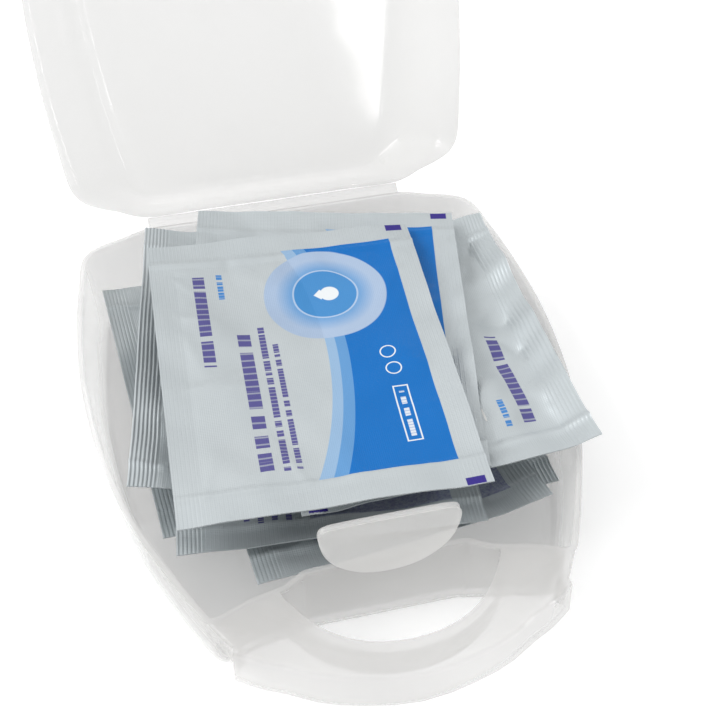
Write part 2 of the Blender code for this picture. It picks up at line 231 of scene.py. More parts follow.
FRAME_LINE = 0.15  # half the width of the line
RING_LINE = 0.14
HAZE_PANEL = (-4, 24.5, -30, 33)
TITLE_ROW = (-22, -19.2, -33, 30, 3.1, 9.3)
LIST_LINES = (-16.6, -13.8, -11, -8.2)
LIST_HALF_HEIGHT = 0.6
LIST_ROW = (-32, 33, 1.7)  # back, front, and the length of a word
LIST_SEED = 20

# The surroundings: the way to their brightest part, and how their light changes with the share of that way.
SKY_WAY = (-0.5, 0.4, 0.77)
SKY_SLOPE = 0.6
SKY_LEVEL = 0.57
SKY_LEAST = 0.6
TABLE_HALF_SIZE = 4
# name, place, what it faces, size and power. The windows stand where the lid's panel mirrors them to the
# camera, and the strip where the round along the lid's left side does.
LAMPS = (
    ("key", (-1.1, 0.15, 1.0), (0, 0.02, 0), (0.7, 0.7), 8),
    ("window", (0.29, -1.0, 0.56), (0.02, 0.09, 0.05), (0.085, 0.2), 0.45),
    ("lower_window", (0.285, -1.03, 0.42), (0.02, 0.09, 0.05), (0.03, 0.1), 0.08),
    ("strip", (0.77, -0.51, 0.17), (-0.03, 0.08, 0.03), (0.05, 0.4), 0.7),
)


# ---------------------------------------------------------------- outlines


def beyond(end, neighbour):
    """The point past an end: the neighbour's mirror image where the end is on the middle line."""
    return Vector((-neighbour.x, neighbour.y)) if end.x == 0 else 2 * end - neighbour


def through(before, start, end, after, steps):
    """Points of the smooth curve (Catmull-Rom) from start up to, but without, end."""
    points = []
    for step in range(steps):
        t = step / steps
        slope = (end - before) * t
        bend = (2 * before - 5 * start + 4 * end - after) * t**2
        twist = (3 * start - before - 3 * end + after) * t**3
        points.append((2 * start + slope + bend + twist) / 2)
    return points


def spline(points, steps=3):
    """A smooth open curve through the points."""
    points = [Vector(point) for point in points]
    run = [beyond(points[0], points[1]), *points, beyond(points[-1], points[-2])]
    curve = []
    for before, start, end, after in zip(run, run[1:], run[2:], run[3:]):
        curve += through(before, start, end, after, steps)
    return curve + [points[-1]]


def finer(outline, steps=FINER):
    """A smooth closed curve through all points of a closed outline."""
    count = len(outline)
    curve = []
    for i in range(count):
        corners = [outline[(i + k) % count] for k in (-1, 0, 1, 2)]
        curve += through(*corners, steps)
    return curve


def mirrored(half):
    """The whole outline for its right half."""
    left = [Vector((-point.x, point.y)) for point in reversed(half) if point.x > 1e-6]
    return half + left


def inset(outline, distance):
    """The outline with each side moved inwards by this distance."""
    moved = []
    for i, point in enumerate(outline):
        arriving = (point - outline[i - 1]).normalized()
        leaving = (outline[(i + 1) % len(outline)] - point).normalized()
        run = (arriving + leaving).normalized()
        inwards = Vector((-run.y, run.x))
        moved.append(point + inwards * distance / run.dot(arriving))
    return moved


def drawn_in(arch, distances):
    """The open curve with each point moved inwards by its own distance."""
    moved = []
    for i, (point, distance) in enumerate(zip(arch, distances)):
        run = arch[min(i + 1, len(arch) - 1)] - arch[max(i - 1, 0)]
        moved.append(point + distance * Vector((-run.y, run.x)).normalized())
    return moved


def between(first, second, share):
    """The outline that share of the way from the first to the second."""
    return [a.lerp(b, share) for a, b in zip(first, second)]


def ring(outline, height):
    """The outline in metres, level at that height above the hinge line."""
    return [Vector((point.x, -point.y, height)) * MM for point in outline]


# ---------------------------------------------------------------- meshes


def finished(name, form, sharp=SHARP):
    """Turns the bmesh into a named object, with its faces pointing out and round faces smooth."""
    bmesh.ops.recalc_face_normals(form, faces=form.faces)
    mesh = bpy.data.meshes.new(name)
    form.to_mesh(mesh)
    form.free()
    mesh.shade_smooth()
    mesh.set_sharp_from_angle(angle=math.radians(sharp))
    thing = bpy.data.objects.new(name, mesh)
    bpy.context.scene.collection.objects.link(thing)
    return thing


def loft(name, rings, sharp=SHARP):
    """A solid through rings of equally many points."""
    form = bmesh.new()
    loops = [[form.verts.new(point) for point in points] for points in rings]
    for low, high in zip(loops, loops[1:]):
        for i in range(len(low)):
            form.faces.new((low[i - 1], low[i], high[i], high[i - 1]))
    form.faces.new(loops[0])
    form.faces.new(loops[-1])
    return finished(name, form, sharp)


def combine(thing, operation, other):
    """Adds the other solid to the thing or cuts it out, and removes the other."""
    modifier = thing.modifiers.new(operation.lower(), "BOOLEAN")
    modifier.operation = operation
    modifier.object = other
    modifier.solver = "EXACT"
    graph = bpy.context.evaluated_depsgraph_get()
    mesh = bpy.data.meshes.new_from_object(thing.evaluated_get(graph))
    thing.modifiers.clear()
    thing.data = mesh
    mesh.shade_smooth()
    mesh.set_sharp_from_angle(angle=math.radians(SHARP))
    bpy.data.objects.remove(other)


def dress(thing, body, slot, node, material=None):
    """The piece rides on its body, takes that material slot and stands for that CAD node."""
    thing.data.materials.clear()
    thing.data.materials.append(MATERIALS[material or slot])
    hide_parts(node)
    if body:
        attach(thing, body)
    return thing


# ---------------------------------------------------------------- shader fields


class Field:
    """A number that varies over a surface, worked out by shader nodes."""

    def __init__(self, tree, socket):
        self.tree = tree
        self.socket = socket

    def worked(self, operation, *others, clamp=False):
        """What a Math node makes of this number and the others."""
        node = self.tree.nodes.new("ShaderNodeMath")
        node.operation = operation
        node.use_clamp = clamp
        for place, value in zip(node.inputs, (self, *others)):
            if isinstance(value, Field):
                self.tree.links.new(value.socket, place)
            else:
                place.default_value = value
        return Field(self.tree, node.outputs[0])

    def __add__(self, other):
        return self.worked("ADD", other)

    def __sub__(self, other):
        return self.worked("SUBTRACT", other)

    def __mul__(self, other):
        return self.worked("MULTIPLY", other)

    def __truediv__(self, other):
        return self.worked("DIVIDE", other)

    def __abs__(self):
        return self.worked("ABSOLUTE")

    def least(self, other):
        return self.worked("MINIMUM", other)

    def most(self, other):
        return self.worked("MAXIMUM", other)

    def mask(self, softness=0.12):
        """1 where the number is above 0, 0 where it is below, with a soft edge."""
        return (self / softness).worked("ADD", 0.5, clamp=True)


def distance(x, y):
    """How far a place is from the middle."""
    return (x * x + y * y).worked("SQRT")


def rectangle(x, y, left, right, low, high):
    """Above 0 inside the rectangle, by how far the nearest side is."""
    wide = abs(x - (left + right) / 2) * -1 + (right - left) / 2
    tall = abs(y - (low + high) / 2) * -1 + (high - low) / 2
    return wide.least(tall)


def disc(x, y, middle_x, middle_y, radius):
    """Above 0 inside the disc, by how far its edge is."""
    return distance(x - middle_x, y - middle_y) * -1 + radius


def new_material(name):
    """A Principled material and its node tree, for the functions below to fill."""
    material = bpy.data.materials.new(name)
    material.use_nodes = True
    return material, material.node_tree, material.node_tree.nodes["Principled BSDF"]


def noise(tree, scale, detail, roughness=0.5, stretch=None):
    """A smooth random number, between 0 and 1, that is fixed to the object."""
    where = tree.nodes.new("ShaderNodeTexCoord")
    node = tree.nodes.new("ShaderNodeTexNoise")
    node.inputs["Scale"].default_value = scale
    node.inputs["Detail"].default_value = detail
    node.inputs["Roughness"].default_value = roughness
    source = where.outputs["Object"]
    if stretch:
        mapping = tree.nodes.new("ShaderNodeMapping")
        mapping.inputs["Scale"].default_value = stretch
        tree.links.new(source, mapping.inputs["Vector"])
        source = mapping.outputs["Vector"]
    tree.links.new(source, node.inputs["Vector"])
    return Field(tree, node.outputs["Fac"])


def mixed(tree, factor, first, second):
    """A colour: first where factor is 0, second where it is 1. Each is a colour or a socket."""
    node = tree.nodes.new("ShaderNodeMix")
    node.data_type = "RGBA"
    tree.links.new(factor.socket, node.inputs["Factor"])
    for place, value in ((node.inputs[6], first), (node.inputs[7], second)):
        if isinstance(value, tuple):
            place.default_value = value
        else:
            tree.links.new(value, place)
    return node.outputs[2]


def bump(tree, shader, height, depth):
    """Makes the surface look as uneven as the height says, times the depth."""
    node = tree.nodes.new("ShaderNodeBump")
    node.inputs["Strength"].default_value = 1.0
    node.inputs["Distance"].default_value = depth
    tree.links.new(height.socket, node.inputs["Height"])
    tree.links.new(node.outputs["Normal"], shader.inputs["Normal"])


# ---------------------------------------------------------------- materials


def polypropylene(name, tone, alpha):
    """Natural polypropylene: milky, letting part of the light straight through, with a soft gloss."""
    material, tree, shader = new_material(name)
    darker = (tone - 0.03, tone - 0.036, tone - 0.05, 1)
    lighter = (tone + 0.03, tone + 0.024, tone + 0.01, 1)
    tree.links.new(mixed(tree, noise(tree, 35, 2), darker, lighter), shader.inputs["Base Color"])
    shader.inputs["Alpha"].default_value = alpha
    shader.inputs["Specular IOR Level"].default_value = 0.9
    shader.inputs["Subsurface Weight"].default_value = 0.2
    shader.inputs["Subsurface Radius"].default_value = (1.0, 1.0, 1.0)
    shader.inputs["Subsurface Scale"].default_value = 0.006
    shader.inputs["IOR"].default_value = 1.49
    grain = noise(tree, 900, 2)
    rough = grain * 0.04 + 0.05
    tree.links.new(rough.socket, shader.inputs["Roughness"])
    bump(tree, shader, noise(tree, 45, 1) * 0.6 + grain * 0.02, 0.0002)
    return material


def ripple(place, pitch):
    """A sine wave along a line."""
    return (place * (2 * math.pi / pitch)).worked("SINE")


def foil_grain(tree, x, y):
    """The laminate's fine cross-hatch, and the ribs pressed into the end seals, as heights."""
    hatch = ripple(x, HATCH_PITCH) * 0.5 + ripple(y, HATCH_PITCH) * 0.5
    ribs = ripple(x, RIB_PITCH)
    end = (abs(y) - (SACHET_LENGTH / 2 - END_SEAL)).mask(0.6)
    return hatch * 0.012 + ribs * end * 0.005 + noise(tree, 260, 3) * 0.06


def sachet_plan(tree):
    """The place on the sachet, in millimetres from its middle: x across, y towards its front end."""
    where = tree.nodes.new("ShaderNodeUVMap")
    where.uv_map = "plan"
    split = tree.nodes.new("ShaderNodeSeparateXYZ")
    tree.links.new(where.outputs["UV"], split.inputs["Vector"])
    x = (Field(tree, split.outputs["X"]) - 0.5) * SACHET_WIDTH
    y = (Field(tree, split.outputs["Y"]) - 0.5) * SACHET_LENGTH
    return x, y


def line_noise(place):
    """A smooth random number along a line, between 0 and 1."""
    node = place.tree.nodes.new("ShaderNodeTexNoise")
    node.noise_dimensions = "1D"
    node.inputs["Scale"].default_value = 1.0
    node.inputs["Detail"].default_value = 0.0
    place.tree.links.new(place.socket, node.inputs["W"])
    return Field(place.tree, node.outputs["Fac"])


def words(x, y, left, right, low, high, length, seed):
    """A row of plain bars of uneven length, where a line of print would be."""
    row = rectangle(x, y, left, right, low, high)
    words_apart = line_noise(y / length + seed) - 0.38
    letters = ripple(y, 0.7 * (right - left)) + 0.75
    return row.mask() * words_apart.mask(0.02) * (letters.mask(0.3) * 0.45 + 0.42)


def silver_ground(tree):
    """The bare laminate's colour, a little uneven."""
    return mixed(tree, noise(tree, 60, 2), SILVER, PALE_SILVER)


def foil_finish(tree, shader, x, y):
    """The laminate's sheen, gloss and grain."""
    shader.inputs["Metallic"].default_value = SHEEN
    shader.inputs["Specular IOR Level"].default_value = 0.25
    rough = noise(tree, 160, 2) * 0.12 + 0.27
    tree.links.new(rough.socket, shader.inputs["Roughness"])
    bump(tree, shader, foil_grain(tree, x, y), 0.001)


def with_emblem(tree, colour, x, y):
    """Adds the round emblem: a halo, a soft glow, and a rimmed disc with a white drop."""
    middle_x, middle_y = EMBLEM
    away = distance(x - middle_x, y - middle_y)
    colour = mixed(tree, (away * -1 + HALO_RADIUS).mask(0.25), colour, HALO_BLUE)
    fading = ((away - GLOW_START) / GLOW_FADE).worked("SUBTRACT", 0, clamp=True) * -1 + 1
    colour = mixed(tree, (away * -1 + GLOW_RADIUS).mask(1.6) * fading, colour, GLOW_BLUE)
    colour = mixed(tree, (away * -1 + RIM_RADIUS).mask(), colour, RIM_BLUE)
    colour = mixed(tree, (away * -1 + DISC_RADIUS).mask(), colour, DISC_BLUE)
    drop = disc(x, y, middle_x + DROP_SHIFT, middle_y, DROP_RADIUS).mask(0.2)
    slant = math.sqrt(0.5)
    tip = rectangle((x + y) * slant, (x - y) * slant, *DROP_TIP).mask(0.2)
    return mixed(tree, drop.most(tip), colour, WHITE)


def printed_foil():
    """The front film: a satin laminate with a generic print in blue and indigo."""
    material, tree, shader = new_material("printed_foil")
    x, y = sachet_plan(tree)
    panel = rectangle(x, y, *FIELD_PANEL).mask()
    colour = silver_ground(tree)
    fields = []
    for apex, radius, blue in FIELD_ARCS:
        outside = distance(x - (apex - radius), y - FIELD_MIDDLE) - radius
        fields.append(panel * outside.mask())
        colour = mixed(tree, fields[-1], colour, blue)
    colour = with_emblem(tree, colour, x, y)
    indigo = reduce(Field.most, [words(x, y, *row) for row in INDIGO_ROWS])
    marks = reduce(Field.most, [rectangle(x, y, *mark) for mark in END_MARKS])
    colour = mixed(tree, indigo.most(marks.mask()), colour, INDIGO)
    colour = mixed(tree, words(x, y, *SMALL_ROW), colour, SMALL_PRINT_BLUE)
    frame_line = abs(rectangle(x, y, *WHITE_FRAME) - FRAME_LINE) * -1 + FRAME_LINE
    discs = [disc(x, y, *middle, WHITE_RING_RADIUS) for middle in WHITE_RINGS]
    rings = reduce(Field.most, [abs(edge) * -1 + RING_LINE for edge in discs])
    white = frame_line.mask(0.1).most(rings.mask(0.1)).most(words(x, y, *WHITE_ROW))
    colour = mixed(tree, white, colour, WHITE)
    tree.links.new(colour, shader.inputs["Base Color"])
    foil_finish(tree, shader, x, y)
    metal = fields[0] * -SHEEN + SHEEN
    tree.links.new(metal.socket, shader.inputs["Metallic"])
    return material


def worded_foil():
    """The same film's other layout: a hazy indigo panel and rows of bars, without the blue field."""
    material, tree, shader = new_material("worded_foil")
    x, y = sachet_plan(tree)
    speckle = noise(tree, 1500, 2, 0.7) - 0.5
    panel = rectangle(x, y, *HAZE_PANEL).mask()
    haze = panel * (speckle.mask(0.25) * 0.35 + 0.35)
    colour = mixed(tree, haze, silver_ground(tree), HAZE_INDIGO)
    bars = words(x, y, *TITLE_ROW)
    for line in LIST_LINES:
        left, right = line - LIST_HALF_HEIGHT, line + LIST_HALF_HEIGHT
        bars = bars.most(words(x, y, left, right, *LIST_ROW, line + LIST_SEED))
    colour = mixed(tree, bars, colour, INDIGO)
    tree.links.new(colour, shader.inputs["Base Color"])
    foil_finish(tree, shader, x, y)
    return material


def plain_foil():
    """The back film: the same laminate without print."""
    material, tree, shader = new_material("plain_foil")
    tree.links.new(silver_ground(tree), shader.inputs["Base Color"])
    foil_finish(tree, shader, *sachet_plan(tree))
    return material


def nonwoven():
    """Soft white spunlace, with its fibres lying mostly one way."""
    material, tree, shader = new_material("nonwoven")
    fibres = noise(tree, 900, 6, 0.7, stretch=(1, 0.25, 1))
    colour = mixed(tree, fibres, (0.78, 0.79, 0.78, 1), (0.93, 0.93, 0.91, 1))
    tree.links.new(colour, shader.inputs["Base Color"])
    rough = fibres * 0.2 + 0.75
    tree.links.new(rough.socket, shader.inputs["Roughness"])
    shader.inputs["Sheen Weight"].default_value = 0.2
    bump(tree, shader, fibres, 0.0003)
    return material


def table_top():
    """A matt white sheet that glows a little, so that it stays pale in the shadows."""
    material, tree, shader = new_material("table_top")
    colour = mixed(tree, noise(tree, 4, 3), (0.93, 0.93, 0.93, 1), (0.95, 0.95, 0.95, 1))
    tree.links.new(colour, shader.inputs["Base Color"])
    shader.inputs["Roughness"].default_value = 0.7
    shader.inputs["Emission Color"].default_value = (1, 1, 1, 1)
    shader.inputs["Emission Strength"].default_value = 0.22
    return material


# ---------------------------------------------------------------- the case


def wall_rings(outline, flat, profile, depth, gap):
    """The profile from the rim to the flat face, gap further in, as outlines and their depths."""
    rings = []
    for share, deep in spline(profile, PROFILE_STEPS):
        level = deep * (depth - gap)
        if level > PARTING_GAP / 2 + EDGE_ROUND * 1.5:
            rings.append((inset(between(outline, flat, share), gap), level))
    return [*rings, (inset(flat, gap + FLAT_BORDER), depth - gap)]


def compartment(name, flat_face, profile, depth, side, gap):
    """The compartment's solid, or with a gap of the wall's thickness what it holds.

    The edge at the rim is rounded: the solid narrows there, and what it holds widens.
    """
    rim = mirrored(spline(RIM, RIM_STEPS))
    flat = mirrored(spline(flat_face, RIM_STEPS))
    low = PARTING_GAP / 2
    radius = -EDGE_ROUND if gap else EDGE_ROUND
    rings = [
        (inset(rim, gap + radius), low),
        (inset(rim, gap + radius * EDGE_BEND), low + EDGE_ROUND * EDGE_BEND),
        (inset(rim, gap), low + EDGE_ROUND),
        *wall_rings(rim, flat, profile, depth, gap),
    ]
    if gap:
        rings.insert(0, (rings[0][0], -CUT_MARGIN))
    return loft(name, [ring(finer(outline), side * level) for outline, level in rings])


def handle_outline(distance_in, depth, back):
    """The handle's outline this far in from its outer face, at this depth."""
    arch = mirrored(spline(SHOULDER + GRIP))
    grip_half_width = GRIP[0][0] + 0.01
    insets = []
    for point in arch:
        if abs(point.x) < grip_half_width:
            insets.append(distance_in - GRIP_PROUD)
        else:
            insets.append(distance_in + SHOULDER_DRAFT * depth / HANDLE_DEPTH)
    return [Vector((0, back)), *drawn_in(arch, insets)]


def handle(name, side):
    """The handle's half on this side: a plate round the finger hole, with a skirt round both edges."""
    hole = mirrored([Vector((0, FINGER_HOLE[0][1])), *spline(FINGER_HOLE)])
    block_rings = []
    for distance_in, depth in HANDLE_PROFILE:
        block_rings.append(ring(handle_outline(distance_in, depth, HANDLE_BACK), side * depth))
    channel_rings = []
    for distance_in, depth in CHANNEL_PROFILE:
        outline = handle_outline(WALL + distance_in, depth, HANDLE_BACK - CUT_MARGIN)
        channel_rings.append(ring(outline, side * depth))
    ends = (-side * CUT_MARGIN, side * (HANDLE_DEPTH + 2 * CUT_MARGIN))
    block = loft(f"{name}_handle", block_rings)
    channel = loft(f"{name}_channel", channel_rings)
    surround = loft(f"{name}_surround", [ring(inset(hole, -WALL), end) for end in ends])
    opening = loft(f"{name}_finger_hole", [ring(hole, end) for end in ends])
    combine(channel, "DIFFERENCE", surround)
    combine(block, "DIFFERENCE", channel)
    combine(block, "DIFFERENCE", opening)
    return block


def half_case(name, body, flat_face, profile, depth, side, turn, material):
    """One half of the case, made lying closed and turned about the hinge line to how it stands."""
    shell = compartment(f"{name}_moulding", flat_face, profile, depth, side, 0)
    combine(shell, "UNION", handle(name, side))
    combine(shell, "DIFFERENCE", compartment(f"{name}_cavity", flat_face, profile, depth, side, WALL))
    shell.data.transform(Matrix.Translation(HINGE) @ Matrix.Rotation(turn, 4, "X"))
    dress(shell, body, "polypropylene", name, material=material)


def hinge_web():
    """The living hinge: a thin web, bent as far as the lid is open, on a fine grid."""
    base_edge = Vector((HINGE_REACH, -HINGE_DROP))
    lid_edge = Vector((HINGE_REACH, HINGE_DROP))
    turned = Vector((
        lid_edge.x * math.cos(OPENING) - lid_edge.y * math.sin(OPENING),
        lid_edge.x * math.sin(OPENING) + lid_edge.y * math.cos(OPENING),
    ))
    middle = spline((base_edge, Vector(HINGE_MIDDLE), turned), HINGE_STEPS)
    runs = [(b - a).normalized() for a, b in zip(middle, middle[1:])]
    runs.append(runs[-1])
    profile = []
    for side in (1, -1):
        order = range(len(middle)) if side == 1 else reversed(range(len(middle)))
        for i in order:
            steps_away = (i - len(middle) / 2) / GROOVE_WIDTH
            groove = 1 - GROOVE_DEPTH * math.exp(-(steps_away**2))
            sideways = Vector((-runs[i].y, runs[i].x)) * HINGE_THICKNESS / 2 * groove
            profile.append(middle[i] + side * sideways)
    rings = []
    for step in range(HINGE_SLICES + 1):
        x = (2 * step / HINGE_SLICES - 1) * HINGE_HALF_LENGTH
        rings.append([HINGE + Vector((x, -point.x, point.y)) * MM for point in profile])
    web = dress(loft("hinge_web", rings), None, "polypropylene", "living_hinge")
    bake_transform(web)


def tongue():
    """The D-shaped latch tongue, with rounded edges."""
    outline = mirrored(spline(TONGUE, TONGUE_STEPS))
    rings = []
    for y, distance_in in TONGUE_PROFILE:
        rings.append([
            TONGUE_PIVOT + Vector((point.x, y, point.y - TONGUE_PIVOT_HEIGHT)) * MM
            for point in inset(outline, distance_in)
        ])
    tongue_plate = loft("tongue", rings)
    # its paler, denser copy of the polypropylene is painted light against the shade behind it
    dress(tongue_plate, "latch", "polypropylene", "latch_tongue", material="brightened_tongue_polypropylene")


# ---------------------------------------------------------------- the sachets


def through_knots(knots, values, at):
    """Smooth curves (cubic) through values at the knots, along the first axis."""
    slopes = np.gradient(values, knots, axis=0)
    index = np.clip(np.searchsorted(knots, at, side="right") - 1, 0, len(knots) - 2)
    width = knots[index + 1] - knots[index]
    t = ((at - knots[index]) / width)[:, None]
    width = width[:, None]
    start, end = values[index], values[index + 1]
    rise, fall = slopes[index] * width, slopes[index + 1] * width
    return (
        start * (1 + 2 * t) * (1 - t) ** 2
        + rise * t * (1 - t) ** 2
        + end * t**2 * (3 - 2 * t)
        + fall * t**2 * (t - 1)
    )


def corner_points(points):
    """A rectangle's back left, back right, front left and front right corners, from above."""
    plan = points[:, :2]
    return [plan[np.argmax(plan @ way)] for way in ((-1, 1), (1, 1), (-1, -1), (1, -1))]


def columns():
    """Places across a sachet, in millimetres from its middle, close together in the ribbed seals."""
    half = SACHET_WIDTH / 2
    inner = half - SIDE_SEAL
    seal = np.linspace(inner, half, round(SIDE_SEAL / RIB_STEP) + 1)
    panel = np.linspace(-inner, inner, round(2 * inner / PANEL_STEP) + 1)
    return np.concatenate([-seal[::-1], panel[1:-1], seal])


def rows():
    """Places along a sachet, in millimetres from its middle."""
    return np.linspace(-SACHET_LENGTH / 2, SACHET_LENGTH / 2, round(SACHET_LENGTH / ROW_STEP) + 1)


def creases(rng, x, y, height):
    """Short soft folds that start at the seals and run in towards the middle, in millimetres."""
    total = np.zeros_like(x)
    half = np.array((SACHET_WIDTH / 2 - SIDE_SEAL, SACHET_LENGTH / 2 - END_SEAL))
    for _ in range(CREASES):
        side = rng.integers(4)
        slide = rng.uniform(-1, 1)
        start = half * ((1, slide), (-1, slide), (slide, 1), (slide, -1))[side]
        heading = math.atan2(-start[1], -start[0]) + rng.uniform(-CREASE_SLANT, CREASE_SLANT)
        length = rng.uniform(*CREASE_LENGTHS)
        width = rng.uniform(*CREASE_WIDTHS)
        along = (x - start[0]) * math.cos(heading) + (y - start[1]) * math.sin(heading)
        aside = (y - start[1]) * math.cos(heading) - (x - start[0]) * math.sin(heading)
        fade = np.clip(along / 2 + 1, 0, 1) * np.clip(1 - along / length, 0, 1)
        fold = np.exp(-np.abs(aside / width) ** 1.5)
        total += rng.choice((-1, 1)) * rng.uniform(0.4, 1) * height * fold * fade
    return total


def waves(rng, x, y, height, length):
    """A gentle unevenness of that length."""
    total = np.zeros_like(x)
    for _ in range(WAVES_EACH):
        turn = rng.uniform(0, 2 * math.pi)
        pitch = length * rng.uniform(0.7, 1.6)
        phase = rng.uniform(0, 2 * math.pi)
        total += np.sin((x * math.cos(turn) + y * math.sin(turn)) * 2 * math.pi / pitch + phase)
    return total * height / WAVES_EACH


class Sachet:
    """A pouch as fields of height over its own rectangle, in millimetres: x across, y to its front."""

    def __init__(self, name, seed, crumpled, ribbed, turned):
        self.name = name
        self.ribbed = ribbed
        self.turned = turned
        self.rng = np.random.default_rng(seed)
        self.xs, self.ys = columns(), rows()
        self.x, self.y = np.meshgrid(self.xs, self.ys, indexing="ij")
        front = self.node_points("front_film")
        back = self.node_points("back_film")
        self.corners = corner_points(front)
        self.middle_heights(front, back)
        self.lay_pouch(crumpled)

    def node_points(self, part):
        """The points of one of the sachet's CAD pieces, in millimetres."""
        node = NODES[f"{self.name}_{part}"]
        return np.array([vert.co for vert in node.data.vertices]) / MM

    def plan(self, across, along):
        """The point from above, for shares from -1 to 1."""
        s, t = ((across + 1) / 2)[..., None], ((along + 1) / 2)[..., None]
        back_left, back_right, front_left, front_right = self.corners
        back = back_left * (1 - s) + back_right * s
        front = front_left * (1 - s) + front_right * s
        return back * (1 - t) + front * t

    def shares(self, points):
        """The shares across and along of points from above."""
        back_left, back_right, front_left, _ = self.corners
        origin = points - back_left
        across, along = back_right - back_left, front_left - back_left
        return (
            2 * origin @ across / (across @ across) - 1,
            2 * origin @ along / (along @ along) - 1,
        )

    def middle_heights(self, front, back):
        """Reads the height half way between the films at the CAD grid's points, and smooths between."""
        grid_u, grid_v = np.meshgrid(ACROSS, ALONG, indexing="ij")
        coarse = np.zeros(grid_u.shape)
        for index in np.ndindex(grid_u.shape):
            spot = self.plan(grid_u[index], grid_v[index])
            top = front[np.abs(front[:, :2] - spot).max(1) < SAME_SPOT][:, 2].max()
            bottom = back[np.abs(back[:, :2] - spot).max(1) < SAME_SPOT][:, 2].min()
            coarse[index] = (top + bottom) / 2
        fine = through_knots(ACROSS, coarse, self.xs * 2 / SACHET_WIDTH)
        self.middle = through_knots(ALONG, fine.T, self.ys * 2 / SACHET_LENGTH).T

    def lay_pouch(self, crumpled):
        """Half the space between the films, the ribs of the side seals, and the creases."""
        inner_x, inner_y = SACHET_WIDTH / 2 - SIDE_SEAL, SACHET_LENGTH / 2 - END_SEAL
        filled = np.clip(1 - np.abs(self.x / inner_x) ** FULLNESS[0], 0, 1)
        filled *= np.clip(1 - np.abs(self.y / inner_y) ** FULLNESS[1], 0, 1)
        self.room = SEAL_GAP / 2 + filled**0.8 * POUCH_HEIGHT / 2
        sealed = np.clip((np.abs(self.x) - inner_x) / 0.5, 0, 1)
        ribs = np.sin(self.x * 2 * math.pi / RIB_PITCH) * RIB_HEIGHT * self.ribbed * sealed
        folds = creases(self.rng, self.x, self.y, CREASE_HEIGHT * crumpled)
        loose = sum(waves(self.rng, self.x, self.y, height * crumpled, length) for height, length in WAVES)
        past_seal = (np.abs(self.y) - inner_y - WELT_PLACE) / WELT_WIDTH
        welt = WELT_HEIGHT * np.exp(-(past_seal**2))
        self.middle += ribs + loose + welt + folds * 0.5
        if self.name in CURLS:
            self.curl(*CURLS[self.name])
        puff = np.clip(folds, 0, None) * 0.5 * np.clip(filled * 3, 0, 1)
        self.room_above = self.room + puff

    def curl(self, corner_x, corner_y, reach, rise):
        """Bends a corner up, by rise at its tip, over this reach in from it."""
        in_x = SACHET_WIDTH / 2 - self.x * corner_x
        in_y = SACHET_LENGTH / 2 - self.y * corner_y
        self.middle += rise * np.clip(1 - (in_x + in_y) / reach, 0, 1) ** 1.6

    @property
    def top(self):
        """The heights of the front film's outer face."""
        return self.middle + self.room_above + FILM

    @property
    def bottom(self):
        """The heights of the back film's outer face."""
        return self.middle - self.room - FILM

    def sampled(self, field, across, along):
        """The field at shares across and along, and where those lie on the sachet."""
        i = np.interp(across * SACHET_WIDTH / 2, self.xs, np.arange(len(self.xs)))
        j = np.interp(along * SACHET_LENGTH / 2, self.ys, np.arange(len(self.ys)))
        i0 = np.clip(i.astype(int), 0, len(self.xs) - 2)
        j0 = np.clip(j.astype(int), 0, len(self.ys) - 2)
        s, t = i - i0, j - j0
        near = field[i0, j0] * (1 - s) + field[i0 + 1, j0] * s
        far = field[i0, j0 + 1] * (1 - s) + field[i0 + 1, j0 + 1] * s
        inside = (np.abs(across) <= REACH) & (np.abs(along) <= REACH)
        return near * (1 - t) + far * t, inside

    def rest_on(self, below):
        """Lifts the sachet, smoothly, off whatever it would cut into."""
        spots = self.plan(self.x * 2 / SACHET_WIDTH, self.y * 2 / SACHET_LENGTH)
        lack = WALL + CONTACT_GAP - self.bottom
        for other in below:
            top, inside = other.sampled(other.top, *other.shares(spots))
            lack = np.maximum(lack, np.where(inside, top + CONTACT_GAP - self.bottom, -np.inf))
        lift = np.clip(lack, 0, None)
        for _ in range(SETTLING_STEPS):
            lift = np.maximum(blurred(lift), np.clip(lack, 0, None))
        self.middle += lift

    def film(self, part, upper, lower, slot, material):
        """A closed sheet between two fields of height, with the plan as its UV map."""
        spots = self.plan(self.x * 2 / SACHET_WIDTH, self.y * 2 / SACHET_LENGTH)
        thing = sheet_object(f"{self.name}_{part}", spots, upper, lower)
        plan = np.stack([self.x / SACHET_WIDTH + 0.5, self.y / SACHET_LENGTH + 0.5], -1)
        if self.turned:
            plan = 1 - plan
        set_plan_map(thing.data, plan.reshape(-1, 2))
        return dress(thing, "base", slot, f"{self.name}_{part}_film", material)

    def build(self):
        """Makes the two films and the wipe."""
        printed = "worded_foil" if self.name in WORDY else "printed_foil"
        inner_top, inner_bottom = self.middle + self.room_above, self.middle - self.room
        front = self.film("front", self.top, inner_top, "printed_foil", printed)
        back = self.film("back", inner_bottom, self.bottom, "plain_foil", "plain_foil")
        for film in (front, back):
            self.tuck(film)
        self.tuck(self.folded_wipe())

    def tuck(self, thing):
        """For a sachet whose corner overhangs the rim, gives the piece its own copy of its mesh."""
        if self.name in TUCKED:
            side, keep = TUCKED[self.name]
            still = side * max(side * corner[0] for corner in self.corners) * MM
            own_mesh(thing)

